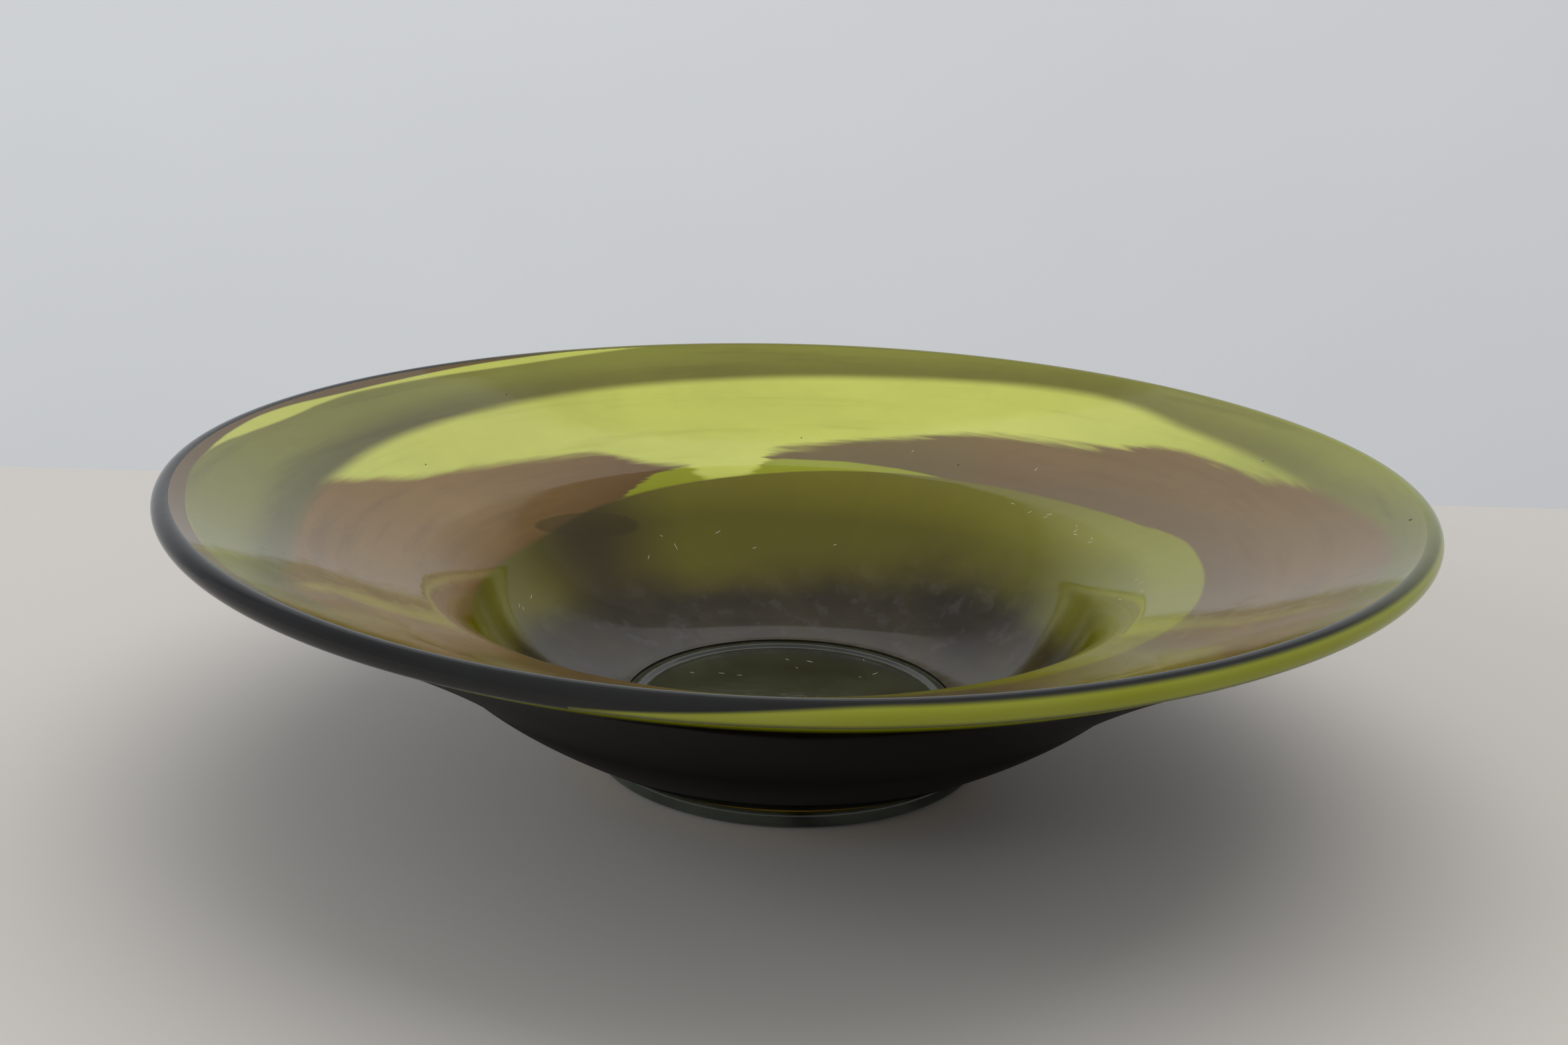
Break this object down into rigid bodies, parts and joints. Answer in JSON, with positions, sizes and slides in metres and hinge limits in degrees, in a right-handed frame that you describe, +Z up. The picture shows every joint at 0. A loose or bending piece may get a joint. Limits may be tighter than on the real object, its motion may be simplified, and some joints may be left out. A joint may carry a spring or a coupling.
{
  "type": "art glass bowl",
  "caption": "Wide shallow blown glass bowl with a flared rim and rounded lip, dark casing, swirled olive, lime and amber lining, and a low applied foot.",
  "frame": {"origin": "centre of the foot's underside, on the table", "axes": "+Z up along the bowl's axis; +X to the viewer's right and +Y to the back when the smoke-grey part of the lip is at the front left"},
  "size_m": [0.32, 0.32, 0.0784],
  "materials": {
    "outer_casing": "fire-polished, near-black brown glass that glows amber where it is thin",
    "foot_disc": "clear grey-green glass, polished edge, ground underside",
    "base_lens": "clear grey-green glass, faint scratches",
    "smoke_pool": "fire-polished glossy coloured glass",
    "green_well": "fire-polished glossy coloured glass",
    "amber_band": "fire-polished glossy coloured glass",
    "lime_crescent": "fire-polished glossy coloured glass",
    "lime_tongue": "fire-polished glossy coloured glass",
    "olive_band": "fire-polished glossy coloured glass",
    "lime_sliver": "fire-polished glossy coloured glass",
    "smoke_edge": "fire-polished glossy coloured glass",
    "lip_lime": "fire-polished glossy coloured glass",
    "lip_smoke": "fire-polished glossy coloured glass"
  },
  "bodies": {
    "root": {"outer_casing": "outer_casing", "foot_disc": "foot_disc", "base_lens": "base_lens", "smoke_pool": "smoke_pool", "green_well": "green_well", "amber_band": "amber_band", "lime_crescent": "lime_crescent", "lime_tongue": "lime_tongue", "olive_band": "olive_band", "lime_sliver": "lime_sliver", "smoke_edge": "smoke_edge", "lip_lime": "lip_lime", "lip_smoke": "lip_smoke"}
  },
  "joints": []
}
